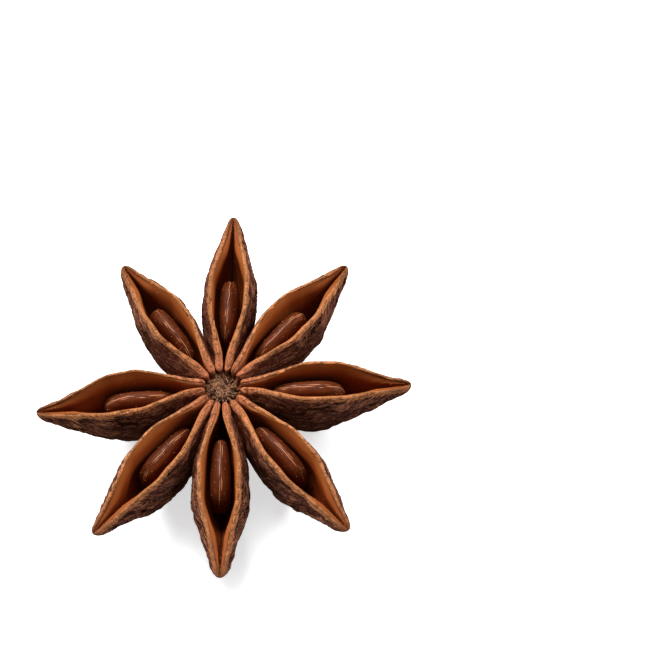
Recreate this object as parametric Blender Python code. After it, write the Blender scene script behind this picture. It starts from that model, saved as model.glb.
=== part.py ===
"""Star anise pod: eight open carpels fused round a short column, a seed lying in each.

Sizes in the tables are millimetres and become metres where meshes are made. +Z is up.
Every carpel is a boat-shaped husk swept outward from the column. A point of it is first
set out in the carpel's own directions: u outward from the column's axis, v to the left,
w up from the column's top. The pod rests on the keels, and the origin is under its
middle, on the surface that it rests on.
"""
from collections import namedtuple
from math import copysign, cos, pi, radians, sin, sqrt, tan

import bmesh
import bpy
import numpy as np

MM = 0.001

# The pod's heights, from the column's top.
REST = -7.35           # the surface under the keels
COLUMN_SIDES = 20
# Radius and height of the turned column, from its dished top to the scar of the stalk.
COLUMN_OUTLINE = (
    (0.0, -0.34), (0.62, -0.12), (0.95, 0.0), (1.2, -0.03), (1.38, -0.3), (1.18, -1.0),
    (1.18, -5.7), (1.45, -6.1), (1.42, -6.6), (1.1, -6.75), (0.0, -6.6),
)

# Carpels, anticlockwise from the right. Turn is the direction of the tip and root the
# direction in which the carpel leaves the column, in degrees. Reach is from the column's
# axis to the tip. Gape and swell multiply the opening's and the husk's width, draw is
# under 1 where the widest place lies nearer the column, tip lifts the beak, and lean
# shifts the opening to the left.
Carpel = namedtuple("Carpel", "turn root reach gape swell draw tip lean")
CARPELS = (
    Carpel(1.5, 1.0, 17.5, 1.00, 1.00, 1.00, 0.00, 0.00),
    Carpel(49.0, 49.5, 17.6, 1.00, 1.00, 1.00, 0.10, 0.00),
    Carpel(88.0, 88.0, 18.8, 0.88, 0.96, 1.00, 0.15, 0.00),
    Carpel(126.5, 133.0, 16.5, 0.93, 0.96, 1.00, 0.10, -0.22),
    Carpel(188.0, 179.0, 17.3, 1.08, 1.00, 1.00, -0.10, 0.15),
    Carpel(232.5, 228.0, 18.5, 1.00, 1.00, 0.94, 0.00, 0.00),
    Carpel(270.5, 267.5, 18.9, 0.93, 1.00, 0.95, 0.00, 0.00),
    Carpel(309.0, 311.5, 18.4, 0.95, 0.97, 1.00, 0.00, 0.18),
)

ROOT = 1.62            # the column's axis to the blunt ends of the rims
ROOT_ROUND = 0.42      # rounding of those ends
ROOT_DEPTH = (0.7, 1.7)   # below the rims, where the husk starts and ends running in
ROOT_RUN = 0.85        # how far the deeper husk runs on into the column
SEAM_GAP = 0.06        # half the groove between neighbours, at their rims
SEAM_FUSE = 0.12       # how far neighbours run into each other, deeper down
SEAM_DEPTH = (0.5, 1.8)   # below the rims, where the groove starts and ends closing
SLIT = 0.05            # half the narrowest opening
TIP_ROUND = 0.03       # the share of the length over which the beak is rounded off
TIP_DROP = 0.2         # how far its blunt end dips

# Shape along a carpel: share of the way from root to tip, and millimetres. Half widths of
# the opening's crests, of the rounded lips and of the husk at its widest; heights of the
# crests and the keel; half width of the hollow round the seed; thickness of the keel.
CREST = (
    (0, 0.37), (0.05, 0.49), (0.1, 0.58), (0.2, 1.03), (0.42, 1.93), (0.56, 1.9), (0.72, 1.3),
    (0.86, 0.74), (0.95, 0.46), (1, 0.32),
)
LIP = ((0, 0.32), (0.05, 0.41), (0.1, 0.38), (0.2, 0.29), (0.34, 0.17), (0.8, 0.14), (1, 0.12))
BULGE = ((0, 0.8), (0.2, 1.95), (0.43, 2.65), (0.58, 2.55), (0.75, 1.75), (0.89, 0.98), (1, 0.46))
RISE = ((0, 0.45), (0.25, 0.85), (0.5, 1.12), (0.72, 0.58), (0.88, 0.03), (1, -0.08))
KEEL = ((0, -6.2), (0.2, -7.1), (0.4, -7.5), (0.55, -6.5), (0.72, -4.3), (0.86, -2.3), (1, -0.9))
HOLD = (
    (0, 0.08), (0.1, 0.3), (0.18, 0.84), (0.27, 1.12), (0.42, 1.32), (0.56, 1.38), (0.67, 0.95),
    (0.8, 0.3), (1, 0.05),
)
FLOOR = ((0, 1.4), (0.25, 0.95), (0.6, 0.95), (0.85, 0.85), (1, 0.7))
BULGE_AT = 0.36        # share of the depth at which the husk is widest
KEEL_POWERS = (1.75, 0.72)   # how full the husk is between there and the keel
PINCH_AT = 0.26        # share of the depth by which the hollow narrows to hold the seed
FLOOR_POWERS = (3.0, 0.6)    # how full the hollow is down to its floor

STATIONS = 16          # sections along a carpel
SIDE_POINTS = 8        # points on each side of a section, from crest to keel
LIP_POINTS = 3         # those of them that round the lip
LIP_WALL = 0.25        # thinnest wall where neighbours press together
SIDE_WALL = 0.4        # thinnest wall beside the seed
END_SHARE = 0.15       # the share of the wall left at the rims' blunt ends
END_DROP = 0.25        # how far the blunt ends dip

# Seeds: length along the carpel, height and thickness, and where the middle is: the share
# of the way from root to tip, and the height. Per seed: share of the size, how far its
# outer end dips, in degrees, and how much further out than the others it lies.
SEED_SIZE = (7.2, 4.5, 2.0)
SEED_AT = (0.39, -2.25)
SEED_POWERS = (3.0, 0.36)    # how blunt the ends are
SEED_SECTION = 2.8     # how square the section is, 2 for an ellipse
SEED_TAPER = 0.14      # how much thicker the outer end is
SEED_SWING = 0.6       # how far a seed follows the bend of its carpel
SEED_FITS = (
    (1.0, -2, 0.0), (0.98, -3, 0.1), (0.92, -2, 0.7), (0.92, -4, 0.6),
    (0.94, -3, 0.0), (0.96, -4, -0.1), (0.96, -2, -0.3), (0.98, -3, 0.0),
)
SEED_RINGS = 9
SEED_SIDES = 10

HUSK_COLOUR = (0.13, 0.062, 0.036, 1)
SEED_COLOUR = (0.16, 0.036, 0.010, 1)


def along(keys, share):
    """Smooth curve through the keys that doesn't overshoot them."""
    x, y = np.array(keys, float).T
    step = np.diff(x)
    rise = np.diff(y) / step
    slope = np.concatenate(([rise[0]], np.zeros(len(x) - 2), [rise[-1]]))
    for i in range(1, len(x) - 1):
        if rise[i - 1] * rise[i] > 0:
            near, far = 2 * step[i] + step[i - 1], step[i] + 2 * step[i - 1]
            slope[i] = (near + far) / (near / rise[i - 1] + far / rise[i])
    i = np.clip(np.searchsorted(x, share, side="right") - 1, 0, len(step) - 1)
    s = (share - x[i]) / step[i]
    ends = (1 + 2 * s) * (1 - s) ** 2 * y[i] + s * s * (3 - 2 * s) * y[i + 1]
    return ends + s * (1 - s) * step[i] * ((1 - s) * slope[i] - s * slope[i + 1])


def ramp(low, high, value):
    """0 below low, 1 above high, smooth between."""
    t = np.clip((value - low) / (high - low), 0, 1)
    return t * t * (3 - 2 * t)


def side_of_husk(rim, bulge, depth):
    """Half width of the husk, at shares of the depth from rim to keel."""
    power, fullness = KEEL_POWERS
    above = rim + (bulge - rim) * np.sin(pi / 2 * np.clip(depth / BULGE_AT, 0, 1))
    below = np.clip((depth - BULGE_AT) / (1 - BULGE_AT), 0, 1)
    return np.where(depth < BULGE_AT, above, bulge * (1 - below ** power) ** fullness)


def side_of_hollow(rim, hold, depth):
    """Half width of the hollow, at shares of the depth from rim to floor."""
    power, fullness = FLOOR_POWERS
    pinch = np.sin(pi / 2 * np.clip(depth / PINCH_AT, 0, 1))
    return (rim + (hold - rim) * pinch) * (1 - depth ** power) ** fullness


def heading(carpel, share):
    """The carpel's direction, in radians, which swings from its root's to its tip's."""
    return np.radians(carpel.turn + (carpel.root - carpel.turn) * (1 - share) ** 2)


def swing(carpel, share):
    """How far the carpel's own line turns, there, from its heading, in radians."""
    drift = 2 * radians(carpel.turn - carpel.root) * (1 - share)
    return drift * (ROOT / (carpel.reach - ROOT) + share)


def room(number, side, share):
    """Half the angle to the neighbour on that side, +1 for the left one."""
    other = CARPELS[(number + side) % len(CARPELS)]
    angle = side * (heading(other, share) - heading(CARPELS[number], share)) % (2 * pi)
    return angle / 2


def section(number, share):
    """One side of a section: the outer wall and the hollow, each from crest to bottom.

    Gives half widths and heights, before the neighbours are allowed for.
    """
    carpel = CARPELS[number]
    drawn = share ** carpel.draw
    middle = np.sin(pi * drawn ** 0.8)
    lip = along(LIP, drawn)
    crest = along(CREST, drawn) * (1 + (carpel.gape - 1) * middle)
    bulge = np.maximum(along(BULGE, drawn) * (1 + (carpel.swell - 1) * middle), crest + lip)
    lift = carpel.tip * share ** 3
    rise, keel = along(RISE, drawn) + lift, along(KEEL, drawn) + lift
    floor = min(keel + along(FLOOR, drawn), rise - lip)

    round_lip = np.linspace(0, pi / 2, LIP_POINTS)
    depth = np.sin(np.linspace(0, pi / 2, SIDE_POINTS - LIP_POINTS + 1))[1:]
    lip_w = rise - lip + lip * np.cos(round_lip)
    outer_v = np.concatenate((
        crest + lip * np.sin(round_lip),
        side_of_husk(crest + lip, bulge, depth),
    ))
    outer_w = np.concatenate((lip_w, rise - lip + (keel - rise + lip) * depth))
    rim = max(crest - lip, SLIT)
    inner_v = np.concatenate((
        crest + (rim - crest) * np.sin(round_lip),
        side_of_hollow(rim, min(along(HOLD, drawn), bulge - SIDE_WALL), depth),
    ))
    inner_w = np.concatenate((lip_w, rise - lip + (floor - rise + lip) * depth))
    return outer_v, outer_w, inner_v, inner_w, rise


def carpel_rings(number):
    """Closed rings of points, one at each station, in the column's frame.

    A ring runs outside from the left crest round the keel to the right crest, and back
    through the hollow.
    """
    carpel = CARPELS[number]
    rings = []
    for station in range(STATIONS + 1):
        share = (1 - cos(pi * station / STATIONS)) / 2
        outer_v, outer_w, inner_v, inner_w, rise = section(number, share)
        walked = (carpel.reach - ROOT) * share
        end = 1 - min(walked / ROOT_ROUND, 1)
        deep = ramp(*ROOT_DEPTH, rise - outer_w)
        out_u = ROOT + walked - ROOT_RUN * deep * (1 - share) ** 8
        in_u = ROOT + walked - ROOT_RUN * ramp(*ROOT_DEPTH, rise - inner_w) * (1 - share) ** 8
        sunk = ramp(*SEAM_DEPTH, rise - outer_w)
        # The rims' ends are rounded: the wall thins there to its own middle.
        full = END_SHARE + (1 - END_SHARE) * sqrt(1 - end ** 2)
        full = full + (1 - full) * deep
        sides = []
        for side in (1, -1):
            limit = out_u * tan(room(number, side, share)) - SEAM_GAP + (SEAM_GAP + SEAM_FUSE) * sunk
            out_v = np.minimum(outer_v, limit)
            in_v = np.minimum(inner_v, np.maximum(out_v - LIP_WALL, SLIT))
            in_v[-1] = 0
            middle_v, middle_w = (out_v + in_v) / 2, (outer_w + inner_w) / 2
            middle_w = middle_w - (1 - full) * END_DROP
            sides.append((
                out_u, side * (middle_v + (out_v - middle_v) * full), middle_w + (outer_w - middle_w) * full,
                in_u, side * (middle_v + (in_v - middle_v) * full), middle_w + (inner_w - middle_w) * full,
            ))
        left, right = sides
        u, v, w = [np.concatenate((
            left[i], right[i][-2::-1], right[i + 3][1:], left[i + 3][-2:0:-1])) for i in range(3)]
        blunt = sqrt(1 - 0.9 * max(0, (share - 1 + TIP_ROUND) / TIP_ROUND) ** 2)
        v, w = v * blunt, rise + (w - rise) * blunt - TIP_DROP * (1 - blunt)
        v = v + carpel.lean * sin(pi * share ** 0.8)
        w = np.maximum(w, REST)
        angle = heading(carpel, share)
        x = u * np.cos(angle) - v * np.sin(angle)
        y = u * np.sin(angle) + v * np.cos(angle)
        rings.append(np.stack((x, y, w), 1))
    return rings


def make_object(name, mesh, material, parent):
    mesh.materials.append(material)
    for polygon in mesh.polygons:
        polygon.use_smooth = True
    made = bpy.data.objects.new(name, mesh)
    made.parent = parent
    bpy.context.scene.collection.objects.link(made)
    return made


def mesh_from(name, points, faces):
    """A mesh of metres from points in millimetres, with its faces turned outward."""
    shape = bmesh.new()
    verts = [shape.verts.new([c * MM for c in point]) for point in points]
    for face in faces:
        shape.faces.new([verts[i] for i in face])
    bmesh.ops.recalc_face_normals(shape, faces=shape.faces)
    bmesh.ops.triangulate(shape, faces=shape.faces)
    mesh = bpy.data.meshes.new(name)
    shape.to_mesh(mesh)
    shape.free()
    return mesh


def hoops(rings):
    """Faces between rings that all have the same number of points."""
    count = len(rings[0])
    return [
        (row * count + i, row * count + (i + 1) % count,
         (row + 1) * count + (i + 1) % count, (row + 1) * count + i)
        for row in range(len(rings) - 1) for i in range(count)
    ]


def carpel_mesh(number):
    """A carpel as a closed solid: swept rings, and an end cap across each wall."""
    rings = carpel_rings(number)
    count = len(rings[0])
    middle = count // 2
    faces = hoops(rings)
    for first in (0, (len(rings) - 1) * count):
        faces.append((first, first + 1, first + count - 1))
        faces.append((first + middle - 1, first + middle, first + middle + 1))
        for i in range(1, middle - 1):
            outer, inner = first + i, first + count - i
            faces.append((outer, outer + 1, inner - 1, inner))
    return mesh_from(f"carpel_{number + 1}", np.concatenate(rings), faces)


def column_mesh():
    """The turned column, closed at its dished top and at its scar."""
    angles = [2 * pi * i / COLUMN_SIDES for i in range(COLUMN_SIDES)]
    (_, top), (_, bottom) = COLUMN_OUTLINE[0], COLUMN_OUTLINE[-1]
    rings = [[(r * cos(a), r * sin(a), w) for a in angles] for r, w in COLUMN_OUTLINE[1:-1]]
    faces = hoops(rings)
    points = [point for ring in rings for point in ring] + [(0, 0, top), (0, 0, bottom)]
    last = (len(rings) - 1) * COLUMN_SIDES
    for i in range(COLUMN_SIDES):
        following = (i + 1) % COLUMN_SIDES
        faces.append((i, following, len(points) - 2))
        faces.append((last + i, last + following, len(points) - 1))
    return mesh_from("column", points, faces)


def seed_mesh(number):
    """A seed on its edge in the hollow: long oval from the side, flatter from above."""
    share_of_size, dip, further = SEED_FITS[number]
    length, height, thickness = [size * share_of_size / 2 for size in SEED_SIZE]
    share, middle_w = SEED_AT
    carpel = CARPELS[number]
    middle_u = ROOT + (carpel.reach - ROOT) * share + further
    middle_v = carpel.lean * sin(pi * share ** 0.8)
    turn = heading(carpel, share)
    power, bluntness = SEED_POWERS
    dip, aside = radians(dip), SEED_SWING * swing(carpel, share)
    points = []
    for ring in range(SEED_RINGS + 1):
        end = ring in (0, SEED_RINGS)
        far = -cos(pi * ring / SEED_RINGS)
        size = (1 - abs(far) ** power) ** bluntness
        for i in range(1 if end else SEED_SIDES):
            angle = 2 * pi * i / SEED_SIDES
            across, up = [copysign(abs(a) ** (2 / SEED_SECTION), a) for a in (sin(angle), cos(angle))]
            v = size * thickness * across * (1 + SEED_TAPER * far)
            u, w = far * length, size * height * up
            u, w = u * cos(dip) + w * sin(dip), w * cos(dip) - u * sin(dip)
            u, v = u * cos(aside) - v * sin(aside), u * sin(aside) + v * cos(aside)
            u, v, w = middle_u + u, middle_v + v, middle_w + w
            points.append((u * cos(turn) - v * sin(turn), u * sin(turn) + v * cos(turn), w))
    faces = []
    for ring in range(SEED_RINGS - 2):
        for i in range(SEED_SIDES):
            a, b = 1 + ring * SEED_SIDES + i, 1 + ring * SEED_SIDES + (i + 1) % SEED_SIDES
            faces.append((a, b, b + SEED_SIDES, a + SEED_SIDES))
    last = 1 + (SEED_RINGS - 2) * SEED_SIDES
    for i in range(SEED_SIDES):
        following = (i + 1) % SEED_SIDES
        faces.append((0, 1 + i, 1 + following))
        faces.append((last + i, last + following, len(points) - 1))
    return mesh_from(f"seed_{number + 1}", points, faces)


def make_material(name, colour, roughness):
    material = bpy.data.materials.new(name)
    material.use_nodes = True
    shader = material.node_tree.nodes["Principled BSDF"]
    shader.inputs["Base Color"].default_value = colour
    shader.inputs["Roughness"].default_value = roughness
    shader.inputs["Metallic"].default_value = 0
    return material


def make_pod(husk, frame):
    """The column with every carpel fused to it: one solid."""
    pod = make_object("pod", column_mesh(), husk, frame)
    for number in range(len(CARPELS)):
        carpel = make_object(f"carpel_{number + 1}", carpel_mesh(number), husk, frame)
        carpel.hide_render = True
        carpel.display_type = "WIRE"
        fuse = pod.modifiers.new(f"Fuse carpel {number + 1}", "BOOLEAN")
        fuse.operation = "UNION"
        fuse.solver = "EXACT"
        fuse.object = carpel
    return pod


def settle(frame, pod):
    """Sets the frame so that the origin is under the pod's middle, at its lowest point."""
    bpy.context.view_layer.update()
    shaped = pod.evaluated_get(bpy.context.evaluated_depsgraph_get())
    corners = np.array([vertex.co for vertex in shaped.data.vertices])
    low, high = corners.min(0), corners.max(0)
    frame.location = (-(low[0] + high[0]) / 2, -(low[1] + high[1]) / 2, -low[2])
    bpy.context.view_layer.update()


def main():
    for old in list(bpy.data.objects):
        bpy.data.objects.remove(old)
    frame = bpy.data.objects.new("pod_frame", None)
    bpy.context.scene.collection.objects.link(frame)
    husk = make_material("husk", HUSK_COLOUR, 0.75)
    pod = make_pod(husk, frame)
    for number in range(len(CARPELS)):
        seed = make_material(f"seed_{number + 1}", SEED_COLOUR, 0.3)
        make_object(f"seed_{number + 1}", seed_mesh(number), seed, frame)
    settle(frame, pod)


main()
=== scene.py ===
"""Star anise pod: detailed husk, column and seeds, on a plain pale stage.

Lengths in the tables are millimetres and become metres where meshes are made. A point of
a carpel is first set out in the carpel's own directions: u outward from the column's
axis, v to the left, w up from the column's top. The pod stands where the frame says.
"""
from collections import namedtuple
from math import cos, pi, radians, sin, sqrt, tan

import bmesh
import bpy
import numpy as np
from mathutils import Matrix, Vector


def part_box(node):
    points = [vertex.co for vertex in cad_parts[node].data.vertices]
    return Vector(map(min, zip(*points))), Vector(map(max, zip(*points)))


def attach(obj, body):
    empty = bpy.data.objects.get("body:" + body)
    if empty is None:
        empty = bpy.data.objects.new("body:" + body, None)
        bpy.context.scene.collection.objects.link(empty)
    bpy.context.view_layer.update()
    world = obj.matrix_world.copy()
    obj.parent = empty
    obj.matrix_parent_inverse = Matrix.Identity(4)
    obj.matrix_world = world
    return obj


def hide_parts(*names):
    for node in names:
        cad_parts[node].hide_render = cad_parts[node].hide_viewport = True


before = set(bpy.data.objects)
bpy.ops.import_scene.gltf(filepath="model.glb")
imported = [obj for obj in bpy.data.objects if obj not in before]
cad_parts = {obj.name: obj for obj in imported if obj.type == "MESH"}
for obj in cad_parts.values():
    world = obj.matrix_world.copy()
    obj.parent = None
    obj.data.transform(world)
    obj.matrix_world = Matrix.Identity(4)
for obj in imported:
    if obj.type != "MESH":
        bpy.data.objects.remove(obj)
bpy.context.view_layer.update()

bl_info = {
    "name": "Star Anise Pod",
    "version": (1, 0, 0),
    "blender": (4, 5, 0),
    "location": "View3D > Sidebar > Star Anise",
    "description": "Adds an open star anise pod with its seeds, and a stage to show it on",
    "category": "Add Mesh",
}

MM = 0.001

# Carpels, anticlockwise from the right. Turn is the direction of the tip and root the
# direction in which the carpel leaves the column, in degrees. Reach is from the column's
# axis to the tip. Gape and swell multiply the opening's and the husk's width, draw is
# under 1 where the widest place lies nearer the column, tip lifts the beak, and lean
# shifts the opening to the left.
Carpel = namedtuple("Carpel", "turn root reach gape swell draw tip lean")
CARPELS = (
    Carpel(1.5, 1.0, 17.5, 1.00, 1.00, 1.00, 0.00, 0.00),
    Carpel(49.0, 49.5, 17.6, 1.00, 1.00, 1.00, 0.10, 0.00),
    Carpel(88.0, 88.0, 18.8, 0.88, 0.96, 1.00, 0.15, 0.00),
    Carpel(126.5, 133.0, 16.5, 0.93, 0.96, 1.00, 0.10, -0.22),
    Carpel(188.0, 179.0, 17.3, 1.08, 1.00, 1.00, -0.10, 0.15),
    Carpel(232.5, 228.0, 18.5, 1.00, 1.00, 0.94, 0.00, 0.00),
    Carpel(270.5, 267.5, 18.9, 0.93, 1.00, 0.95, 0.00, 0.00),
    Carpel(309.0, 311.5, 18.4, 0.95, 0.97, 1.00, 0.00, 0.18),
)

REST = -7.35           # the surface under the keels, from the column's top
ROOT = 1.62            # the column's axis to the blunt ends of the rims
ROOT_ROUND = 0.42      # rounding of those ends
ROOT_DEPTH = (0.7, 1.7)   # below the rims, where the husk starts and ends running in
ROOT_RUN = 0.85        # how far the deeper husk runs on into the column
SEAM_GAP = 0.06        # half the groove between neighbours, at their rims
SEAM_FUSE = 0.12       # how far neighbours run into each other, deeper down
SEAM_DEPTH = (0.5, 1.8)   # below the rims, where the groove starts and ends closing
SLIT = 0.05            # half the narrowest opening
HUSK_SPAN = 9.0        # rim to keel round the husk's stoutest part
CROWDING = 0.4         # 1 where wrinkles keep their width along the husk, 0 where they crowd
TIP_ROUND = 0.035      # the share of the length over which the beak is rounded off

# Shape along a carpel: share of the way from root to tip, and millimetres.
CREST = (
    (0, 0.37), (0.05, 0.49), (0.1, 0.58), (0.2, 1.03), (0.42, 1.93), (0.56, 1.9), (0.72, 1.3),
    (0.86, 0.74), (0.95, 0.43), (1, 0.24),
)
LIP = ((0, 0.32), (0.05, 0.41), (0.1, 0.38), (0.2, 0.29), (0.34, 0.17), (0.8, 0.14), (0.93, 0.15), (1, 0.19))
BULGE = ((0, 0.8), (0.2, 1.95), (0.43, 2.65), (0.58, 2.55), (0.75, 1.75), (0.89, 0.98), (1, 0.46))
RISE = ((0, 0.45), (0.25, 0.85), (0.5, 1.12), (0.72, 0.58), (0.88, 0.03), (1, -0.08))
KEEL = ((0, -6.2), (0.2, -7.1), (0.4, -7.5), (0.55, -6.5), (0.72, -4.3), (0.86, -2.3), (1, -0.9))
HOLD = (
    (0, 0.08), (0.1, 0.3), (0.18, 0.84), (0.27, 1.12), (0.42, 1.32), (0.56, 1.38), (0.67, 0.95),
    (0.8, 0.3), (1, 0.05),
)
FLOOR = ((0, 1.4), (0.25, 0.95), (0.6, 0.95), (0.85, 0.85), (1, 0.7))
BULGE_AT = 0.36        # share of the depth at which the husk is widest
KEEL_POWERS = (1.75, 0.72)   # how full the husk is between there and the keel
PINCH_AT = 0.26        # share of the depth by which the hollow narrows to hold the seed
FLOOR_POWERS = (3.0, 0.6)    # how full the hollow is down to its floor

STATIONS = 150         # sections along a carpel
SIDE_POINTS = 74       # points on each side of a section, from crest to keel
LIP_POINTS = 7         # those of them that round the lip
INNER_LIP = 0.72       # how far round its inner side goes, before the hollow's wall

# The turned column: radius and height, from its dished top to the scar of the stalk.
COLUMN_OUTLINE = (
    (0.0, -0.34), (0.35, -0.3), (0.62, -0.1), (0.9, 0.02), (1.1, -0.03), (1.2, -0.2),
    (1.24, -0.5), (1.18, -1.0), (1.18, -5.7), (1.42, -6.1), (1.45, -6.5), (1.1, -6.75),
    (0.0, -6.6),
)

# Seeds: length along the carpel, height and thickness, and where the middle is: the share
# of the way from root to tip, and the height. Per seed: share of the size, how far its
# outer end dips, in degrees, and how much further out than the others it lies.
SEED_SIZE = (7.2, 4.5, 2.0)
SEED_AT = (0.39, -2.25)
SEED_POWERS = (3.0, 0.36)     # how blunt the ends are
SEED_SECTION = 2.8            # how square the section is, 2 for an ellipse
SEED_TAPER = 0.14             # how much thicker the outer end is
SEED_SWING = 0.6              # how far a seed follows the bend of its carpel
SEED_FITS = (
    (1.0, -2, 0.0), (0.98, -3, 0.1), (0.92, -2, 0.7), (0.92, -4, 0.6),
    (0.94, -3, 0.0), (0.96, -4, -0.1), (0.96, -2, -0.3), (0.98, -3, 0.0),
)
SEED_RINGS = 84
SEED_SIDES = 72

CAMERA_ELEVATION = 60  # degrees above the floor
CAMERA_DISTANCE = 213  # from the column's top
CAMERA_ASIDE = (9.48, 5.83)   # how far right of the column's top, and above it, the view is aimed
LENS = 127.4


# ---- Sizes and colours -------------------------------------------------------------

def length(name, description, default):
    return bpy.props.FloatProperty(
        name=name, description=description, default=default, min=0, unit="LENGTH", precision=5)


def colour(name, description, default):
    return bpy.props.FloatVectorProperty(
        name=name, description=description, default=default, size=3, min=0, max=1, subtype="COLOR")


class PodSizes(bpy.types.PropertyGroup):
    """Depths of the surface relief, and the small things on the pod"""
    wrinkles: length("Wrinkles", "Depth of the wrinkles that run along the husk", 0.00024)
    lumps: length("Lumps", "Depth of the broad unevenness of the keels", 0.00070)
    grain: length("Grain", "Depth of the fine grain of the husk", 0.00009)
    wave: length("Rim wave", "How far the rims wander up and down", 0.00009)
    hair: length("Hair length", "Length of the hairs round the column's top", 0.00050)
    speck: length("Speck size", "Width of the specks of husk dust", 0.00009)


class PodColours(bpy.types.PropertyGroup):
    """Colours of the husk, the seeds and the stage"""
    # Groove: the husk's dark colour in its wrinkles, also used as painted shade along the hollow's floor and
    # lower down the husk.
    groove_and_shade: colour("Groove", "Husk in its wrinkles", (0.012, 0.004, 0.002))
    husk: colour("Husk", "Husk between the wrinkles", (0.088, 0.030, 0.017))
    fibre: colour("Fibre", "Raised fibres of the husk", (0.34, 0.140, 0.078))
    bloom: colour("Bloom", "Purple-grey patches of the husk", (0.072, 0.024, 0.020))
    root: colour("Root", "Redder husk near the column", (0.085, 0.017, 0.008))
    finger: colour("Rim end", "Blunt ends of the rims, round the column", (0.43, 0.140, 0.064))
    rim: colour("Rim", "Dry edge of the walls", (0.46, 0.180, 0.074))
    inner: colour("Inner wall", "Inner wall just below the rim", (0.52, 0.180, 0.045))
    # Deep inner wall: the lining's colour low in the hollow, redder, and darkened as painted shade.
    shaded_inner: colour("Deep inner wall", "Inner wall low in the hollow", (0.25, 0.052, 0.011))
    seed: colour("Seed", "Seed coat", (0.108, 0.023, 0.0065))
    # Seed ridge: partly the pale ridge of the coat and partly a painted highlight along the seed's upper edge.
    seed_ridge_highlight: colour("Seed ridge", "Fine line along the seed's upper edge", (0.70, 0.32, 0.15))
    column: colour("Column", "Broken fibres of the column's top", (0.25, 0.110, 0.052))
    floor: colour("Floor", "Pale floor of the stage", (0.88, 0.88, 0.88))


# ---- Curves and noise --------------------------------------------------------------

def along(keys, share):
    """Smooth curve through the keys that doesn't overshoot them."""
    x, y = np.array(keys, float).T
    step = np.diff(x)
    rise = np.diff(y) / step
    slope = np.concatenate(([rise[0]], np.zeros(len(x) - 2), [rise[-1]]))
    for i in range(1, len(x) - 1):
        if rise[i - 1] * rise[i] > 0:
            near, far = 2 * step[i] + step[i - 1], step[i] + 2 * step[i - 1]
            slope[i] = (near + far) / (near / rise[i - 1] + far / rise[i])
    i = np.clip(np.searchsorted(x, share, side="right") - 1, 0, len(step) - 1)
    s = (share - x[i]) / step[i]
    ends = (1 + 2 * s) * (1 - s) ** 2 * y[i] + s * s * (3 - 2 * s) * y[i + 1]
    return ends + s * (1 - s) * step[i] * ((1 - s) * slope[i] - s * slope[i + 1])


def ramp(low, high, value):
    """0 below low, 1 above high, smooth between."""
    t = np.clip((value - low) / (high - low), 0, 1)
    return t * t * (3 - 2 * t)


def lattice(x, y, z):
    """A repeatable value from 0 to 1 for each whole-number point."""
    h = (x * 374761393 + y * 668265263 + z * 1103515245).astype(np.int64) & 0x7FFFFFFF
    h = ((h ^ (h >> 13)) * 1274126177) & 0x7FFFFFFF
    h = ((h ^ (h >> 15)) * 2246822519) & 0x7FFFFFFF
    return ((h ^ (h >> 14)) & 0xFFFF) / 65535.0


def noise(x, y, z=0.0):
    """Smooth value noise, from 0 to 1."""
    x, y, z = np.broadcast_arrays(np.asarray(x, float), y, z)
    cells = [np.floor(c).astype(np.int64) for c in (x, y, z)]
    fx, fy, fz = [(c - i) ** 2 * (3 - 2 * (c - i)) for c, i in zip((x, y, z), cells)]
    total = 0
    for dx in (0, 1):
        for dy in (0, 1):
            for dz in (0, 1):
                weight = (fx if dx else 1 - fx) * (fy if dy else 1 - fy) * (fz if dz else 1 - fz)
                total = total + weight * lattice(cells[0] + dx, cells[1] + dy, cells[2] + dz)
    return total


def layered(x, y, z=0.0, layers=3):
    """Noise with finer and fainter layers, about 0 to 1."""
    total, weight = 0, 0
    for layer in range(layers):
        size = 2 ** layer
        total = total + noise(x * size + 7.3 * layer, y * size - 3.1 * layer, z + 17 * layer) / size
        weight += 1 / size
    return total / weight


# ---- The carpels' shape ------------------------------------------------------------

def side_of_husk(rim, bulge, depth):
    """Half width of the husk, at shares of the depth from rim to keel."""
    power, fullness = KEEL_POWERS
    above = rim + (bulge - rim) * np.sin(pi / 2 * np.clip(depth / BULGE_AT, 0, 1))
    below = np.clip((depth - BULGE_AT) / (1 - BULGE_AT), 0, 1)
    return np.where(depth < BULGE_AT, above, bulge * (1 - below ** power) ** fullness)


def side_of_hollow(rim, hold, depth):
    """Half width of the hollow, at shares of the depth from rim to floor."""
    power, fullness = FLOOR_POWERS
    pinch = np.sin(pi / 2 * np.clip(depth / PINCH_AT, 0, 1))
    return (rim + (hold - rim) * pinch) * (1 - depth ** power) ** fullness


def heading(carpel, share):
    """The carpel's direction, in radians, which swings from its root's to its tip's."""
    return np.radians(carpel.turn + (carpel.root - carpel.turn) * (1 - share) ** 2)


def swing(carpel, share):
    """How far the carpel's own line turns, there, from its heading, in radians."""
    drift = 2 * radians(carpel.turn - carpel.root) * (1 - share)
    return drift * (ROOT / (carpel.reach - ROOT) + share)


def room(number, side, share):
    """Half the angle to the neighbour on that side, +1 for the left one."""
    other = CARPELS[(number + side) % len(CARPELS)]
    angle = side * (heading(other, share) - heading(CARPELS[number], share)) % (2 * pi)
    return angle / 2


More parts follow.
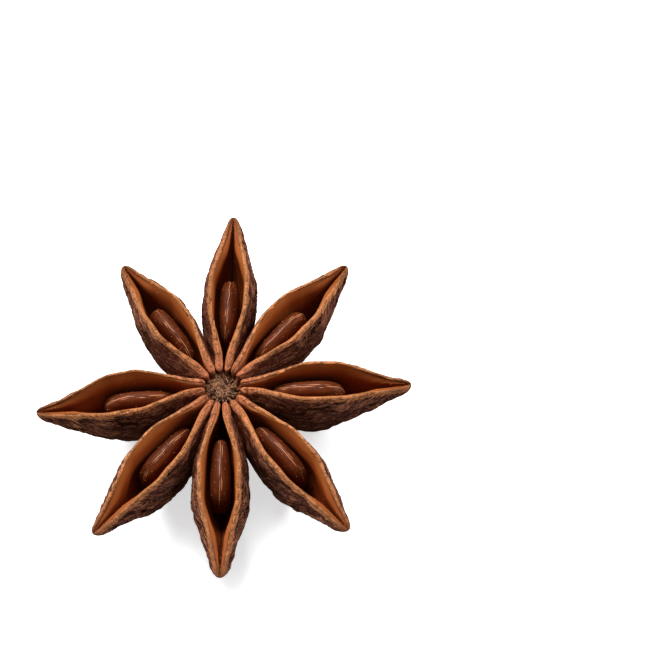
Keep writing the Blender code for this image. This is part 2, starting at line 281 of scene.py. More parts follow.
def section(number, share):
    """One side of a section: the outer wall and the hollow, each from crest to bottom."""
    carpel = CARPELS[number]
    drawn = share ** carpel.draw
    middle = np.sin(pi * drawn ** 0.8)
    lip = along(LIP, drawn)
    crest = along(CREST, drawn) * (1 + (carpel.gape - 1) * middle)
    bulge = np.maximum(along(BULGE, drawn) * (1 + (carpel.swell - 1) * middle), crest + lip)
    lift = carpel.tip * share ** 3
    rise, keel = along(RISE, drawn) + lift, along(KEEL, drawn) + lift
    floor = min(keel + along(FLOOR, drawn), rise - lip)

    round_lip = np.linspace(0, pi / 2, LIP_POINTS)
    depth = np.sin(np.linspace(0, pi / 2, SIDE_POINTS - LIP_POINTS + 1))[1:]
    lip_w = rise - lip + lip * np.cos(round_lip)
    outer_v = np.concatenate((crest + lip * np.sin(round_lip), side_of_husk(crest + lip, bulge, depth)))
    outer_w = np.concatenate((lip_w, rise - lip + (keel - rise + lip) * depth))
    round_lip = round_lip * INNER_LIP
    rim = max(crest - lip * sin(round_lip[-1]), SLIT)
    start = rise - lip + lip * cos(round_lip[-1])
    inner_v = np.concatenate((
        crest + (rim - crest) * np.sin(round_lip) / sin(round_lip[-1]),
        side_of_hollow(rim, min(along(HOLD, drawn), bulge - 0.4), depth),
    ))
    inner_w = np.concatenate((rise - lip + lip * np.cos(round_lip), start + (floor - start) * depth))
    return outer_v, outer_w, inner_v, inner_w, rise


def carpel_grid(number):
    """The carpel's points, one closed ring at each station: outside from the left crest round
    the keel to the right crest, then back through the hollow. Also each point's distance
    out from the column's axis, and each ring's share of the length and rim height."""
    carpel = CARPELS[number]
    rings, rims = [], []
    for station in range(STATIONS + 1):
        even = station / STATIONS
        share = 0.35 * even + 0.65 * (1 - cos(pi * even)) / 2
        outer_v, outer_w, inner_v, inner_w, rise = section(number, share)
        walked = (carpel.reach - ROOT) * share
        end = 1 - min(walked / ROOT_ROUND, 1)
        sides = []
        for side in (1, -1):
            deep = ramp(*ROOT_DEPTH, rise - outer_w)
            out_u = ROOT + walked - ROOT_RUN * deep * (1 - share) ** 8
            in_u = ROOT + walked - ROOT_RUN * ramp(*ROOT_DEPTH, rise - inner_w) * (1 - share) ** 8
            sunk = ramp(*SEAM_DEPTH, rise - outer_w)
            limit = out_u * tan(room(number, side, share)) - SEAM_GAP + (SEAM_GAP + SEAM_FUSE) * sunk
            out_v = np.minimum(outer_v, limit)
            in_v = np.minimum(inner_v, np.maximum(out_v - 0.25, SLIT))
            in_v[-1] = 0
            # The rims' ends are rounded: the wall thins there to its own middle.
            full = 0.15 + 0.85 * sqrt(1 - end ** 2)
            full = full + (1 - full) * deep
            middle_v, middle_w = (out_v + in_v) / 2, (outer_w + inner_w) / 2
            middle_w = middle_w - (1 - full) * 0.25
            sides.append((
                out_u, side * (middle_v + (out_v - middle_v) * full), middle_w + (outer_w - middle_w) * full,
                in_u, side * (middle_v + (in_v - middle_v) * full), middle_w + (inner_w - middle_w) * full,
            ))
        left, right = sides
        u, v, w = [np.concatenate((
            left[i], right[i][-2::-1], right[i + 3][1:], left[i + 3][-2:0:-1])) for i in range(3)]
        blunt = np.sqrt(1 - 0.9 * max(0, (share - 1 + TIP_ROUND) / TIP_ROUND) ** 2)
        v, w = v * blunt, rise + (w - rise) * blunt - 0.2 * (1 - blunt)
        v = v + carpel.lean * sin(pi * share ** 0.8)
        angle = heading(carpel, share)
        x = u * np.cos(angle) - v * np.sin(angle)
        y = u * np.sin(angle) + v * np.cos(angle)
        rings.append(np.stack((x, y, w, u), 1))
        rims.append((share, rise))
    grid = np.array(rings)
    share, rise = np.array(rims).T
    return grid[..., :3], grid[..., 3], share[:, None], rise[:, None]


def outward(grid):
    """Unit normals of a grid of rings."""
    around = np.roll(grid, -1, 1) - np.roll(grid, 1, 1)
    onward = np.gradient(grid, axis=0)
    normal = np.cross(onward, around)
    return normal / np.maximum(np.linalg.norm(normal, axis=2, keepdims=True), 1e-9)


def relief(number, grid, u, share, rise, sizes):
    """Moves the grid's points along their normals into wrinkles, lumps and grain.

    Gives the new grid, the values that the finish is painted from, and a flat map of it.
    """
    half = 2 * SIDE_POINTS - 1
    index = np.arange(grid.shape[1])[None, :] + 0 * share
    inside = (index >= half).astype(float)
    step = np.linalg.norm(np.roll(grid, -1, 1) - grid, axis=2)
    path = np.concatenate((np.zeros((len(grid), 1)), np.cumsum(step, 1)), 1)
    round_trip, path = path[:, -1:], path[:, :-1]
    right_crest = path[:, half - 1][:, None]
    # Distance along the section from the nearer crest.
    from_lip = np.where(index < half, np.minimum(path, right_crest - path),
                        np.minimum(path - right_crest, round_trip - path))
    # Across the wrinkles, which all run from the root to the tip.
    half_way = right_crest / 2
    aside = np.where(index < half, path / half_way - 1,
                     1 - 2 * (path - right_crest) / (round_trip - right_crest))
    around = aside * HUSK_SPAN * (half_way / HUSK_SPAN) ** CROWDING
    own = 31.7 * (number + 1)
    bend = layered(u * 0.35, around * 0.45, own) - 0.5
    across = around + 1.6 * bend
    wrinkle = 1 - np.abs(2 * layered(u * 0.45, across * 1.5, own + 3, 3) - 1)
    wrinkle = ramp(0.55, 1.0, wrinkle)
    fold = layered(u * 0.8, across * 1.3, own + 9, 3)
    lump = layered(u * 0.55, around * 0.42, own + 5, 3)
    grain = layered(u * 2.6, across * 5.0, own + 7, 3)
    sunk = np.clip(rise - grid[..., 2], 0, 9)
    tipward = ramp(0.3, 0.75, share)
    keelward = ramp(1.5, 5.0, sunk)
    rooted = ramp(0.0, 0.12, share)
    off_lip = ramp(0.1, 0.9, from_lip)
    wave = noise(u * 1.1, (index > half / 2) * 5.0, own + 11) - 0.5
    outer = (1 - inside) * off_lip * (0.25 + 0.75 * rooted)
    push = outer * (
        sizes.wrinkles / MM * (0.45 + 0.75 * tipward) * (wrinkle - 0.45)
        + sizes.wrinkles / MM * 1.1 * (0.25 + 0.9 * tipward) * (fold - 0.5)
        + sizes.lumps / MM * (0.25 + 0.9 * keelward * (0.3 + tipward)) * (lump - 0.5))
    push += sizes.grain / MM * (grain - 0.5) * (1 - inside)
    push += inside * off_lip * sizes.grain / MM * 0.5 * (layered(u * 0.8, across * 2, own) - 0.5)
    taper = 1 - ramp(0.93, 0.99, share) * 0.92
    moved = grid + outward(grid) * (push * taper)[..., None]
    near_lip = 1 - ramp(0.15, 0.6, from_lip)
    moved[..., 2] += near_lip * sizes.wave / MM * 2 * wave * rooted * taper
    moved[..., 2] = np.maximum(moved[..., 2], REST)
    values = {
        "inside": inside,
        "from_lip": from_lip,
        "ridge": np.clip(0.5 * wrinkle + 0.5 * ramp(0.3, 0.7, fold), 0, 1),
        "sunk": sunk,
        "share": share + 0 * u,
        "deep": 1 - np.abs(aside),
    }
    place = np.stack((u, across, 0 * u + own), 2)
    return moved, values, place


# ---- Meshes ------------------------------------------------------------------------

def mesh_of(name, points, quads, triangles=()):
    """A smooth mesh of metres from points in millimetres."""
    mesh = bpy.data.meshes.new(name)
    loops = np.concatenate([np.asarray(f, np.int64).ravel() for f in (quads, triangles) if len(f)])
    sizes = np.array([4] * len(quads) + [3] * len(triangles))
    mesh.vertices.add(len(points))
    mesh.vertices.foreach_set("co", (np.asarray(points) * MM).ravel())
    mesh.loops.add(len(loops))
    mesh.loops.foreach_set("vertex_index", loops)
    mesh.polygons.add(len(sizes))
    mesh.polygons.foreach_set("loop_start", np.concatenate(([0], np.cumsum(sizes)[:-1])))
    mesh.update(calc_edges=True)
    mesh.validate()
    tidy = bmesh.new()
    tidy.from_mesh(mesh)
    bmesh.ops.recalc_face_normals(tidy, faces=tidy.faces)
    tidy.to_mesh(mesh)
    tidy.free()
    mesh.polygons.foreach_set("use_smooth", np.ones(len(mesh.polygons), bool))
    return mesh


def hoops(rows, count):
    """Quads of a grid of closed rings."""
    row, i = np.meshgrid(np.arange(rows - 1), np.arange(count), indexing="ij")
    after = (i + 1) % count
    quads = (row * count + i, (row + 1) * count + i, (row + 1) * count + after, row * count + after)
    return np.stack([q.ravel() for q in quads], 1)


def keep(mesh, name, values, kind="FLOAT"):
    """Writes one value, or one vector, to each vertex."""
    attribute = mesh.attributes.new(name, kind, "POINT")
    key = "value" if kind == "FLOAT" else "vector"
    attribute.data.foreach_set(key, np.asarray(values, np.float32).ravel())


def stand(name, mesh, material, nodes, place):
    """A piece of the pod: standing at the frame's place, riding on it, in place of nodes."""
    mesh.materials.append(material)
    piece = bpy.data.objects.new(name, mesh)
    piece.location = place
    bpy.context.scene.collection.objects.link(piece)
    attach(piece, "root")
    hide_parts(*nodes)
    return piece


def pod_place():
    """Where the column's top is: the carpels' box sits on the CAD pod's box."""
    grids = np.concatenate([carpel_outline(number) for number in range(len(CARPELS))])
    low, high = grids.min(0), grids.max(0)
    box_low, box_high = [Vector(corner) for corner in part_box("pod")]
    middle = (box_low + box_high) / 2
    return Vector((
        middle.x - (low[0] + high[0]) / 2 * MM,
        middle.y - (low[1] + high[1]) / 2 * MM,
        box_low.z - REST * MM,
    ))


def carpel_outline(number):
    """The ends of a carpel's tip, which set the pod's width."""
    carpel = CARPELS[number]
    angle = heading(carpel, 1.0)
    return np.array([(carpel.reach * cos(angle), carpel.reach * sin(angle))])


def turned(outline, sides, rows):
    """Rings round the axis, through a smooth curve over the outline's corners."""
    corners = np.array(outline)
    walked = np.concatenate(([0], np.cumsum(np.linalg.norm(np.diff(corners, axis=0), axis=1))))
    at = np.linspace(0, walked[-1], rows)
    radius = np.interp(at, walked, corners[:, 0])
    height = np.interp(at, walked, corners[:, 1])
    angle = np.linspace(0, 2 * pi, sides, endpoint=False)
    return np.stack((
        radius[:, None] * np.cos(angle), radius[:, None] * np.sin(angle),
        height[:, None] + 0 * angle), 2)


def cap_ends(rows, count, total):
    """Triangles that close a grid's first and last ring on the two points at total."""
    i = np.arange(count)
    after = (i + 1) % count
    first = np.stack((after, i, np.full(count, total)), 1)
    last = (rows - 1) * count
    return np.concatenate((first[:, ::-1], np.stack((last + after, last + i, np.full(count, total + 1)), 1)))


def hair_tube(points, radius, sides=4):
    """A tapering hair through the points: its corners and its faces."""
    points = np.array(points)
    direction = np.gradient(points, axis=0)
    direction /= np.linalg.norm(direction, axis=1, keepdims=True)
    across = np.cross(direction, (0.3, 0.5, 0.81))
    across /= np.linalg.norm(across, axis=1, keepdims=True)
    other = np.cross(direction, across)
    taper = np.linspace(1, 0.25, len(points))[:, None, None] * radius
    angle = np.linspace(0, 2 * pi, sides, endpoint=False)[None, :, None]
    rings = points[:, None] + taper * (across[:, None] * np.cos(angle) + other[:, None] * np.sin(angle))
    corners = rings.reshape(-1, 3)
    quads = hoops(len(points), sides)
    last = (len(points) - 1) * sides
    ends = [(sides - 1 - i for i in range(sides)), (last + i for i in range(sides))]
    return corners, np.concatenate((quads, [list(end) for end in ends]))


# ---- Finishes ----------------------------------------------------------------------

class Finish:
    """A material's nodes, put down and linked in one call each."""

    def __init__(self, name):
        self.material = bpy.data.materials.new(name)
        self.material.use_nodes = True
        self.nodes = self.material.node_tree.nodes
        self.links = self.material.node_tree.links
        self.shader = self.nodes["Principled BSDF"]

    def put(self, kind, inputs=None, output=0, **settings):
        node = self.nodes.new(kind)
        for key, value in settings.items():
            setattr(node, key, value)
        for key, value in (inputs or {}).items():
            if isinstance(value, bpy.types.NodeSocket):
                self.links.new(value, node.inputs[key])
            else:
                node.inputs[key].default_value = value
        return node.outputs[output]

    def read(self, name, vector=False):
        return self.put("ShaderNodeAttribute", output=1 if vector else 2, attribute_name=name)

    def maths(self, operation, a, b, clamp=True):
        return self.put("ShaderNodeMath", {0: a, 1: b}, operation=operation, use_clamp=clamp)

    def sum(self, *terms):
        """Adds up values, each times its weight."""
        total = None
        for value, weight in terms:
            part = self.maths("MULTIPLY", value, weight, clamp=False)
            total = part if total is None else self.maths("ADD", total, part, clamp=False)
        return total

    def mix(self, share, a, b, blend="MIX"):
        a, b = [c if isinstance(c, bpy.types.NodeSocket) else (*c, 1) for c in (a, b)]
        return self.put("ShaderNodeMix", {0: share, 6: a, 7: b}, output=2, data_type="RGBA", blend_type=blend)

    def steps(self, value, *stops):
        """A smooth step from 0 to 1, or through the given pairs of place and value."""
        out = self.put("ShaderNodeValToRGB", {0: value})
        stripe = out.node.color_ramp
        for place, level in stops[2:]:
            stripe.elements.new(place).color = (level, level, level, 1)
        for element, (place, level) in zip((stripe.elements[0], stripe.elements[-1]), (stops[0], stops[1])):
            element.position = place
            element.color = (level, level, level, 1)
        return out

    def stretched(self, place, scale, size, detail=4, roughness=0.6, warp=0.0):
        at = self.put("ShaderNodeMapping", {"Vector": place, "Scale": scale})
        return self.put("ShaderNodeTexNoise", {
            "Vector": at, "Scale": size, "Detail": detail, "Roughness": roughness, "Distortion": warp})

    def bumped(self, height, distance, strength=1.0):
        normal = self.put("ShaderNodeBump", {"Height": height, "Distance": distance, "Strength": strength})
        self.links.new(normal, self.shader.inputs["Normal"])

    def set(self, **values):
        for key, value in values.items():
            socket = self.shader.inputs[key.replace("_", " ")]
            if isinstance(value, bpy.types.NodeSocket):
                self.links.new(value, socket)
            else:
                socket.default_value = value


def husk_finish(colours):
    """Rough fibrous husk outside, grainy tan rims, satin orange-brown walls inside."""
    f = Finish("husk")
    place = f.read("place", vector=True)
    inside, from_lip, ridge = f.read("inside"), f.read("from_lip"), f.read("ridge")
    sunk, share, deep = f.read("sunk"), f.read("share"), f.read("deep")
    # Outside: dark wrinkles, brown husk, tan fibres, purple-grey bloom and redder roots.
    fibres = f.stretched(place, (0.55, 3.2, 1), 1.0, 5, 0.72, 0.5)
    flecks = f.stretched(place, (1.4, 5.5, 1), 1.0, 3, 0.65, 0.3)
    grain = f.stretched(place, (6.0, 8.0, 1), 1.0, 2, 0.7)
    patches = f.stretched(place, (0.4, 0.6, 1), 0.8, 3)
    height = f.sum((ridge, 0.10), (fibres, 0.50), (flecks, 0.60), (grain, 0.45))
    outside = f.mix(f.steps(height, (0.74, 0), (0.88, 1)), colours.groove_and_shade, colours.husk)
    outside = f.mix(f.steps(patches, (0.45, 0), (0.62, 0.7)), outside, colours.bloom)
    outside = f.mix(f.steps(share, (0.12, 0.8), (0.5, 0)), outside, colours.root)
    # Lower down, fewer of the fibres are pale and the husk is darkened towards the groove colour: painted shade
    # towards the keels.
    raised = f.sum((height, 1.0), (sunk, -0.022), (f.steps(from_lip, (0.2, 1), (1.1, 0)), -0.07))
    outside = f.mix(f.steps(raised, (0.79, 0), (0.96, 0.8)), outside, colours.fibre)
    lower = f.steps(f.sum((sunk, 0.2)), (0.1, 0), (0.8, 0.55))
    outside = f.mix(lower, outside, colours.groove_and_shade)
    # The rim's dry edge fades into the husk, broken up by its grain.
    edge_at = f.sum((from_lip, 1.0), (fibres, -0.45), (flecks, -0.45))
    speckled = f.sum((flecks, 0.5), (grain, 0.5))
    edge = f.mix(f.steps(speckled, (0.43, 0), (0.57, 1)), [c * 0.28 for c in colours.rim], colours.rim)
    edge = f.mix(f.steps(share, (0.78, 0), (1.0, 0.5)), edge, colours.husk)
    outside = f.mix(f.steps(edge_at, (-0.46, 1), (-0.34, 0)), outside, edge)
    ends = f.mix(f.steps(speckled, (0.44, 0), (0.56, 1)), [c * 0.22 for c in colours.finger], colours.finger)
    outside = f.mix(f.maths("MULTIPLY", f.steps(share, (0.03, 0.9), (0.22, 0)),
                            f.steps(from_lip, (0.45, 1), (1.0, 0))), outside, ends)
    # Inside: golden under the rim, redder and darker below, darker towards the tip and near black along the
    # hollow's floor; the darkening is painted shade in the hollow.
    streak = f.stretched(place, (0.5, 2.6, 1), 1.2, 3)
    low = f.sum((from_lip, 0.22), (streak, 0.2))
    lining = f.mix(f.steps(low, (0.10, 0), (0.46, 1)), colours.inner, colours.shaded_inner)
    lining = f.mix(f.steps(share, (0.5, 0), (0.85, 0.8)), lining, [c * 0.65 for c in colours.shaded_inner])
    lining = f.mix(f.steps(deep, (0.84, 0), (1.0, 0.9)), lining, colours.groove_and_shade)
    lining = f.mix(f.steps(from_lip, (0.04, 1), (0.22, 0)), lining, edge)
    lining = f.mix(f.steps(share, (0.05, 0.9), (0.24, 0)), lining, ends)
    rough = f.put("ShaderNodeMapRange", {0: inside, 3: 0.8, 4: 0.45})
    sheen = f.maths("MULTIPLY", inside, 0.05)
    f.set(Base_Color=f.mix(inside, outside, lining), Roughness=rough, Specular_IOR_Level=sheen)
    smooth = f.maths("MULTIPLY", inside, f.steps(from_lip, (0.0, 0), (0.3, 1)))
    relief_height = f.maths("SUBTRACT", height, 0.82, clamp=False)
    f.bumped(f.maths("MULTIPLY", relief_height, f.maths("SUBTRACT", 1.0, smooth), clamp=False), 0.16 * MM, 1.0)
    return f.material


def column_finish(colours):
    """Torn, fibrous wood of the column's top, with painted shade in its low places and round its edge."""
    f = Finish("column")
    place = f.put("ShaderNodeTexCoord", output=3)
    torn = f.stretched(place, (1, 1, 1), 2600, 6, 0.7, 0.6)
    fine = f.stretched(place, (1, 1, 1), 9000, 3, 0.6)
    level = f.maths("ADD", f.maths("MULTIPLY", torn, 0.75), f.maths("MULTIPLY", fine, 0.35))
    base = f.mix(f.steps(level, (0.42, 0), (0.68, 1)), [c * 0.16 for c in colours.column], colours.column)
    lift = f.read("lift")
    # Painted shade: the low places of the torn top, and its edge by the gap round it, are painted almost black.
    base = f.mix(f.steps(lift, (0.25, 0.92), (0.75, 0)), base, [c * 0.08 for c in colours.column])
    f.set(Base_Color=base, Roughness=0.85, Specular_IOR_Level=0.08)
    f.bumped(level, 0.16 * MM)
    return f.material


def hair_finish(colours):
    """Dry pale fibres."""
    f = Finish("hair")
    place = f.put("ShaderNodeTexCoord", output=3)
    tone = f.stretched(place, (1, 1, 1), 1500, 3)
    pale = [min(1, c * 2.0) for c in colours.column]
    f.set(Base_Color=f.mix(tone, colours.column, pale), Roughness=0.6)
    return f.material


def seed_finish(colours):
    """Glossy chestnut coat with faint streaks and a pale line along the upper edge, partly the coat's pale
    ridge and partly a painted highlight.
    """
    f = Finish("seed")
    place = f.read("place", vector=True)
    streak = f.stretched(place, (0.35, 2.2, 2.2), 1.3, 4, 0.6, 0.3)
    dark = [c * 0.5 for c in colours.seed]
    base = f.mix(f.steps(streak, (0.35, 0), (0.65, 1)), dark, colours.seed)
    # Fine pale lines run along the upper edge, each of them broken here and there: pale ridges of the coat,
    # painted brighter as a painted highlight where the top light would glint on them.
    wander = f.stretched(place, (0.35, 0, 0), 1.0, 2)
    across = f.put("ShaderNodeSeparateXYZ", {"Vector": place}, output=1)
    upper = f.steps(f.put("ShaderNodeSeparateXYZ", {"Vector": place}, output=2), (1.3 / 2.5, 0), (1.9 / 2.5, 1))
    for number, beside in enumerate((0.0, 0.17, -0.15)):
        off = f.sum((across, 1.0), (wander, -0.5), (1.0, 0.25 - beside))
        thin = f.steps(f.maths("ABSOLUTE", off, 0), (0.010, 1), (0.032, 0))
        rare = 0.40 + 0.09 * number
        present = f.steps(f.stretched(place, (0.45, 0, 0), 1.0 + 0.37 * number, 1), (rare, 0), (rare + 0.1, 1))
        shown = f.maths("MULTIPLY", f.maths("MULTIPLY", thin, present), f.maths("MULTIPLY", upper, 0.75))
        base = f.mix(shown, base, colours.seed_ridge_highlight)
    rough = f.put("ShaderNodeMapRange", {0: streak, 3: 0.30, 4: 0.42})
    f.set(Base_Color=base, Roughness=rough, Specular_IOR_Level=0.04)
    f.bumped(f.stretched(place, (1.2, 3, 3), 2.5, 3), 0.02 * MM, 0.5)
    return f.material


def speck_finish(colours):
    """Golden crumbs of the husk's lining."""
    f = Finish("speck")
    place = f.put("ShaderNodeTexCoord", output=3)
    tone = f.stretched(place, (1, 1, 1), 1800, 2)
    pale = [min(1, c * 1.5) for c in colours.rim]
    f.set(Base_Color=f.mix(f.steps(tone, (0.35, 0), (0.6, 1)), colours.rim, pale), Roughness=0.4)
    return f.material


# ---- Operators ---------------------------------------------------------------------

class AddPiece:
    """What every operator here shares."""
    bl_options = {"REGISTER", "UNDO"}

    def settings(self, context):
        return context.scene.pod_sizes, context.scene.pod_colours


class ADDCARPELS(AddPiece, bpy.types.Operator):
    """Adds the eight open carpels of the husk"""
    bl_idname = "star_anise.add_carpels"
    bl_label = "Add Carpels"

    def execute(self, context):
        sizes, colours = self.settings(context)
        husk, place = husk_finish(colours), pod_place()
        for number in range(len(CARPELS)):
            grid, u, share, rise = carpel_grid(number)
            grid, values, at = relief(number, grid, u, share, rise, sizes)
            rows, count = grid.shape[:2]
            quads = hoops(rows, count)
            # Each end is closed across the wall, from outside to hollow.
            middle = count // 2
            i = np.arange(1, middle - 1)
            across = np.stack((i, i + 1, count - 1 - i, count - i), 1)
            crests = np.array(((0, 1, count - 1), (middle - 1, middle, middle + 1)))
            last = (rows - 1) * count
            quads = np.concatenate((quads, across, across + last))
            crests = np.concatenate((crests, crests + last))
            mesh = mesh_of(f"carpel_{number + 1}", grid.reshape(-1, 3), quads, crests)
            for name, value in values.items():
                keep(mesh, name, value)
            keep(mesh, "place", at, "FLOAT_VECTOR")
            stand(f"carpel_{number + 1}", mesh, husk, ["pod"], place)
        return {"FINISHED"}


class ADDCOLUMN(AddPiece, bpy.types.Operator):
    """Adds the column that the carpels grow from, with its torn top"""
    bl_idname = "star_anise.add_column"
    bl_label = "Add Column"

    def execute(self, context):
        _, colours = self.settings(context)
        rows, count = 150, 128
        grid = turned(COLUMN_OUTLINE, count, rows)[1:-1]
        rows = len(grid)
        radius = np.linalg.norm(grid[..., :2], axis=2)
        x, y, w = grid[..., 0], grid[..., 1], grid[..., 2]
        torn = layered(x * 2.6, y * 2.6, w * 2 + 40, 4) - 0.5
        upper = ramp(-1.2, -0.3, w)
        lower = 1 - ramp(-6.2, -5.4, w)
        rough = np.maximum(upper, lower)
        grid = grid + outward(grid) * (rough * 0.8 * torn)[..., None]
        ends = [(0, 0, grid[0, :, 2].mean()), (0, 0, grid[-1, :, 2].mean())]
        points = np.concatenate((grid.reshape(-1, 3), ends))
        mesh = mesh_of("column", points, hoops(rows, count), cap_ends(rows, count, rows * count))
        # Lift falls where the torn top sinks and towards its edge; the finish paints these low places dark as
        # painted shade.
        lift = ramp(-0.3, 0.45, torn * 2 - 0.5 * ramp(0.85, 1.2, radius))
        lift = np.concatenate((lift.ravel(), (0.5, 0.5)))
        keep(mesh, "lift", lift)
        stand("column", mesh, column_finish(colours), ["pod"], pod_place())
        return {"FINISHED"}


class ADDHAIRS(AddPiece, bpy.types.Operator):
    """Adds the torn fibres on the column's top and the fine hairs round its edge"""
    bl_idname = "star_anise.add_hairs"
    bl_label = "Add Hairs"

    def execute(self, context):
        sizes, colours = self.settings(context)
        rng = np.random.default_rng(8)
        corners, faces, used = [], [], 0
        for number in range(230):
            lying = number >= 90
            angle = rng.uniform(0, 2 * pi)
            outer = np.array((cos(angle), sin(angle), 0))
            span = sizes.hair / MM * rng.uniform(0.4, 1.15)
            if lying:
                turn = angle + rng.uniform(-1.6, 1.6) + pi / 2
                start = outer * 1.1 * np.sqrt(rng.uniform(0.02, 1)) + (0, 0, 0.0)
                heading_of = np.array((cos(turn), sin(turn), 0))
                lift = 0.05
            else:
                turn = angle + rng.uniform(-0.7, 0.7)
                start = outer * rng.uniform(1.05, 1.22) + (0, 0, rng.uniform(-0.25, 0.0))
                heading_of = np.array((cos(turn), sin(turn), rng.uniform(-0.1, 0.7)))
                lift = rng.uniform(-0.1, 0.2)
            bend = rng.uniform(-0.35, 0.35)
            side = np.cross(heading_of, (0, 0, 1))
            walked = np.linspace(0, 1, 6)[:, None]
            path = start + heading_of * span * walked + side * bend * span * walked ** 2
            path[:, 2] += lift * walked[:, 0] * (1 - walked[:, 0]) * 2 + 0.02
            tube, quads = hair_tube(path, rng.uniform(0.012, 0.024))
            corners.append(tube)
            faces.append(quads + used)
            used += len(tube)
        mesh = mesh_of("hairs", np.concatenate(corners), np.concatenate(faces))
        stand("hairs", mesh, hair_finish(colours), ["pod"], pod_place())
        return {"FINISHED"}


class ADDSEEDS(AddPiece, bpy.types.Operator):
    """Adds the glossy seed in each carpel"""
    bl_idname = "star_anise.add_seeds"
    bl_label = "Add Seeds"

    def execute(self, context):
        _, colours = self.settings(context)
        coat, place = seed_finish(colours), pod_place()
        for number in range(len(CARPELS)):
            mesh = seed_mesh(number)
            stand(f"seed_coat_{number + 1}", mesh, coat, [f"seed_{number + 1}"], place)
        return {"FINISHED"}


def seed_mesh(number):
    """A seed on its edge in the hollow."""
    share_of_size, dip, further = SEED_FITS[number]
    length_, height, thickness = [size * share_of_size / 2 for size in SEED_SIZE]
    share, middle_w = SEED_AT
    carpel = CARPELS[number]
    middle_u = ROOT + (carpel.reach - ROOT) * share + further
    turn, dip, aside = heading(carpel, share), radians(dip), SEED_SWING * swing(carpel, share)
    power, bluntness = SEED_POWERS
    ring = np.linspace(0, pi, SEED_RINGS + 1)[1:-1, None]
    angle = np.linspace(0, 2 * pi, SEED_SIDES, endpoint=False)[None, :]
    far = -np.cos(ring)
    size = (1 - np.abs(far) ** power) ** bluntness
    own = 13.1 * (number + 1)
    uneven = 1 + 0.05 * (noise(far * 1.6 + own, np.cos(angle) * 1.2, np.sin(angle) * 1.2) - 0.5)
    squared = [np.sign(a) * np.abs(a) ** (2 / SEED_SECTION) for a in (np.sin(angle), np.cos(angle))]
    v = size * thickness * squared[0] * (1 + SEED_TAPER * far) * uneven
    w = size * height * squared[1] * uneven
    u = far * length_ + 0 * angle
    u, w = u * cos(dip) + w * sin(dip), w * cos(dip) - u * sin(dip)
    ends = [(s * length_ * cos(dip), 0, -s * length_ * sin(dip)) for s in (-1, 1)]
    points = np.concatenate((np.stack((u, v, w), 2).reshape(-1, 3), ends))
    at = points + (own, 0, 0)
    u, v = points[:, 0], points[:, 1]
    u, v = u * cos(aside) - v * sin(aside), u * sin(aside) + v * cos(aside)
    points = np.stack((u, v, points[:, 2]), 1)
    points += (middle_u, carpel.lean * sin(pi * share ** 0.8), middle_w)
    x = points[:, 0] * cos(turn) - points[:, 1] * sin(turn)
    y = points[:, 0] * sin(turn) + points[:, 1] * cos(turn)
    rows = SEED_RINGS - 1
    mesh = mesh_of(f"seed_coat_{number + 1}", np.stack((x, y, points[:, 2]), 1),
                   hoops(rows, SEED_SIDES), cap_ends(rows, SEED_SIDES, rows * SEED_SIDES))
    keep(mesh, "place", at, "FLOAT_VECTOR")
    return mesh


class ADDSPECKS(AddPiece, bpy.types.Operator):
    """Adds crumbs of the lining, lying on the seeds, the inner walls and the rims"""
    bl_idname = "star_anise.add_specks"
    bl_label = "Add Specks"

    def execute(self, context):
        sizes, colours = self.settings(context)
        rng = np.random.default_rng(21)
        place = pod_place()
        crumb = np.array(((1, 0, 0), (0, 1, 0), (-1, 0, 0), (0, -1, 0), (0, 0, 1), (0, 0, -1)))
        sides = np.array([(i, (i + 1) % 4, 4) for i in range(4)] + [((i + 1) % 4, i, 5) for i in range(4)])
        corners, faces = [], []
        for number in range(len(CARPELS)):
            for name, count in (("carpel", 80), ("seed_coat", 34)):
                mesh = bpy.data.meshes[f"{name}_{number + 1}"]
                spots = np.empty(len(mesh.vertices) * 3, np.float32)
                facing = np.empty_like(spots)
                mesh.vertices.foreach_get("co", spots)
                mesh.vertices.foreach_get("normal", facing)
                spots, facing = spots.reshape(-1, 3) / MM, facing.reshape(-1, 3)
                open_sky = facing[:, 2] > (0.35 if name == "seed_coat" else 0.12)
                high = spots[:, 2] > -2.2
                if name == "carpel":
                    inside = np.empty(len(mesh.vertices), np.float32)
                    mesh.attributes["inside"].data.foreach_get("value", inside)
                    high &= (inside > 0.5) | (facing[:, 2] > 0.6)
                for spot in rng.choice(np.flatnonzero(open_sky & high), count):
                    size = sizes.speck / MM / 2 * rng.uniform(0.5, 1.25)
                    stretch = rng.uniform(0.5, 1.3, 3) * size
                    faces.append(sides + 6 * len(corners))
                    corners.append(crumb * stretch + spots[spot] + facing[spot] * size * 0.3)
        mesh = mesh_of("specks", np.concatenate(corners), (), np.concatenate(faces))
        stand("specks", mesh, speck_finish(colours), ["pod"], place)
        return {"FINISHED"}


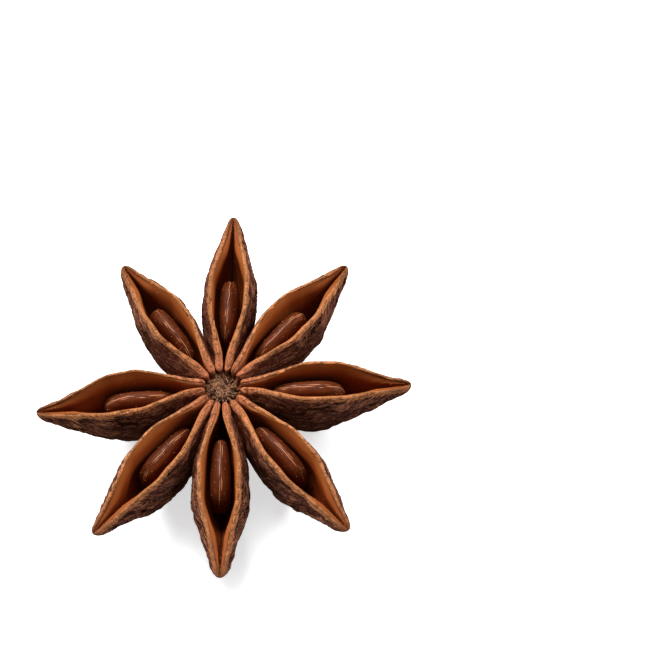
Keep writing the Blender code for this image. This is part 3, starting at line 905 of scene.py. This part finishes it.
class ADDSTAGE(AddPiece, bpy.types.Operator):
    """Adds the pale floor, the soft lights and the camera"""
    bl_idname = "star_anise.add_stage"
    bl_label = "Add Stage"

    def execute(self, context):
        _, colours = self.settings(context)
        scene = context.scene
        place = pod_place()
        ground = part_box("pod")[0][2]
        f = Finish("floor")
        at = f.put("ShaderNodeTexCoord", output=3)
        tone = f.stretched(at, (1, 1, 1), 40, 2)
        f.set(Base_Color=f.mix(tone, colours.floor, [c * 0.985 for c in colours.floor]), Roughness=0.9,
              Emission_Color=(1, 1, 1, 1), Emission_Strength=0.62)
        half = 3000
        corners = [(-half, -half, 0), (half, -half, 0), (half, half, 0), (-half, half, 0)]
        mesh = mesh_of("floor", corners, [(0, 1, 2, 3)])
        mesh.materials.append(f.material)
        floor = bpy.data.objects.new("floor", mesh)
        floor.location = (0, 0, ground)
        scene.collection.objects.link(floor)

        world = bpy.data.worlds.new("studio")
        world.use_nodes = True
        world.node_tree.nodes["Background"].inputs["Color"].default_value = (1, 1, 1, 1)
        world.node_tree.nodes["Background"].inputs["Strength"].default_value = 0.22
        scene.world = world
        add_light("top_light", (-60, 210, 300), place, 200, 2.1)
        add_light("left_light", (-320, 120, 190), place, 120, 1.3)
        add_light("right_light", (300, 120, 190), place, 120, 1.0)

        tilt = radians(CAMERA_ELEVATION)
        back = Vector((0, -cos(tilt), sin(tilt)))
        upward = Vector((0, sin(tilt), cos(tilt)))
        aside, above = CAMERA_ASIDE
        data = bpy.data.cameras.new("camera")
        data.lens = LENS
        data.clip_start = 0.005
        camera = bpy.data.objects.new("camera", data)
        camera.location = place + (Vector((aside, 0, 0)) + upward * above + back * CAMERA_DISTANCE) * MM
        camera.rotation_euler = (pi / 2 - tilt, 0, 0)
        scene.collection.objects.link(camera)
        scene.camera = camera
        scene.view_settings.view_transform = "Standard"
        return {"FINISHED"}


def add_light(name, offset, aim, size, power):
    """A square soft light, offset millimetres from the point that it is aimed at."""
    data = bpy.data.lights.new(name, "AREA")
    data.size = size * MM
    data.energy = power
    light = bpy.data.objects.new(name, data)
    light.location = aim + Vector(offset) * MM
    light.rotation_euler = (Vector(offset)).to_track_quat("Z", "Y").to_euler()
    bpy.context.scene.collection.objects.link(light)


class PODPANEL(bpy.types.Panel):
    """The pieces, sizes and colours of the pod"""
    bl_label = "Star Anise"
    bl_idname = "VIEW3D_PT_star_anise"
    bl_space_type = "VIEW_3D"
    bl_region_type = "UI"
    bl_category = "Star Anise"

    def draw(self, context):
        for operator in PIECES:
            self.layout.operator(operator.bl_idname)
        for group in (context.scene.pod_sizes, context.scene.pod_colours):
            for name in group.__annotations__:
                self.layout.prop(group, name)


PIECES = (ADDCARPELS, ADDCOLUMN, ADDHAIRS, ADDSEEDS, ADDSPECKS, ADDSTAGE)
CLASSES = (PodSizes, PodColours, *PIECES, PODPANEL)


def register():
    for cls in CLASSES:
        bpy.utils.register_class(cls)
    bpy.types.Scene.pod_sizes = bpy.props.PointerProperty(type=PodSizes)
    bpy.types.Scene.pod_colours = bpy.props.PointerProperty(type=PodColours)


def unregister():
    del bpy.types.Scene.pod_colours
    del bpy.types.Scene.pod_sizes
    for cls in reversed(CLASSES):
        bpy.utils.unregister_class(cls)


def main():
    register()
    bpy.ops.star_anise.add_carpels()
    bpy.ops.star_anise.add_column()
    bpy.ops.star_anise.add_hairs()
    bpy.ops.star_anise.add_seeds()
    bpy.ops.star_anise.add_specks()
    bpy.ops.star_anise.add_stage()


if __name__ == "__main__":
    main()
